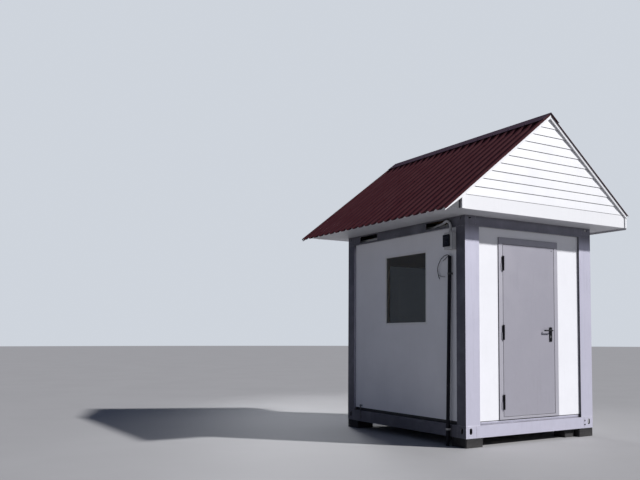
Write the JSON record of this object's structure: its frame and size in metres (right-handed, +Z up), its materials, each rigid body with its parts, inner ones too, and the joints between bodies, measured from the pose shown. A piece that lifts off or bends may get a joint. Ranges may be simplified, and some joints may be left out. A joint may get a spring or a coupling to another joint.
{
  "type": "security guard booth",
  "caption": "Steel-framed guard booth with white panels, pitched ribbed sheet roof, lap-sided gables, hinged door, windows, lever handle and a small switch box on the wall.",
  "frame": {"origin": "on the ground under the middle of the whole, roof included; the middle of the steel box is 105 mm further along +X, as the roof reaches further out on the left", "axes": "+X to the right of the front with the door, +Y from the front to the rear, +Z up"},
  "size_m": [2.8764, 3.06, 3.7236],
  "materials": {
    "timber_blocks": "dark weathered timber",
    "frame_steel": "grey paint, semi-gloss, dusty",
    "floor_covering": "sheet floor covering",
    "ceiling_panel": "matt white",
    "wall_panel": "white coated steel, satin",
    "window_frame": "white, satin",
    "window_glass": "grey tinted glass",
    "door_frame": "grey paint, satin",
    "door_paint": "grey paint, satin",
    "black_metal": "black, semi-gloss",
    "roof_sheet": "dark brown-red coating, matt",
    "siding": "white lapped boards, satin",
    "white_trim": "white, satin",
    "soffit_board": "light grey, satin",
    "truss_timber": "sawn softwood",
    "grey_plastic": "light grey moulding",
    "smoked_cover": "smoked clear plastic",
    "flex_plastic": "light grey ribbed tube",
    "black_plastic": "black, matt",
    "cable_jacket": "black, matt",
    "zinc_steel": "dull zinc"
  },
  "bodies": {
    "booth": {"support_blocks": "timber_blocks", "base_rails": "frame_steel", "top_rails_ends": "frame_steel", "top_rails_sides": "frame_steel", "base_castings": "frame_steel", "top_castings": "frame_steel", "corner_posts": "frame_steel", "floor": "floor_covering", "ceiling": "ceiling_panel", "front_wall_left": "wall_panel", "front_wall_right": "wall_panel", "front_wall_over_door": "wall_panel", "left_wall": "wall_panel", "right_wall": "wall_panel", "rear_wall": "wall_panel", "window_frames": "window_frame", "window_panes": "window_glass", "door_frame": "door_frame", "hinge_frame_halves": "black_metal", "roof_sheet_left": "roof_sheet", "roof_sheet_right": "roof_sheet", "ridge_cap": "roof_sheet", "gable_front": "siding", "gable_rear": "siding", "gable_trims": "white_trim", "soffits": "soffit_board", "eave_end_plates": "soffit_board", "eave_fascia": "roof_sheet", "roof_trusses": "truss_timber", "switch_box": "grey_plastic", "flex_conduit": "flex_plastic", "cable_conduit": "black_plastic", "conduit_clips": "black_plastic", "cable_loop": "cable_jacket", "cable_tail": "cable_jacket", "cable_stub": "cable_jacket", "earth_strap": "zinc_steel"},
    "door": {"door_leaf": "door_paint", "hinge_leaf_halves": "black_metal", "handle_plates": "black_metal"},
    "handle": {"door_handle": "black_metal"},
    "box_cover": {"switch_box_cover": "smoked_cover"}
  },
  "joints": [
    {"name": "door_swing", "type": "hinge", "parent": "booth", "child": "door", "pos_m": [-0.3325, -1.197, 1.241], "axis": [0, 0, -1], "range_deg": [0, 110]},
    {"name": "handle_turn", "type": "hinge", "parent": "door", "child": "handle", "pos_m": [0.415, -1.165, 1.265], "axis": [0, -1, 0], "range_deg": [0, 40]},
    {"name": "box_cover_lift", "type": "hinge", "parent": "booth", "child": "box_cover", "pos_m": [-0.975, -0.985, 2.309], "axis": [0, 1, 0], "range_deg": [0, 100]}
  ]
}
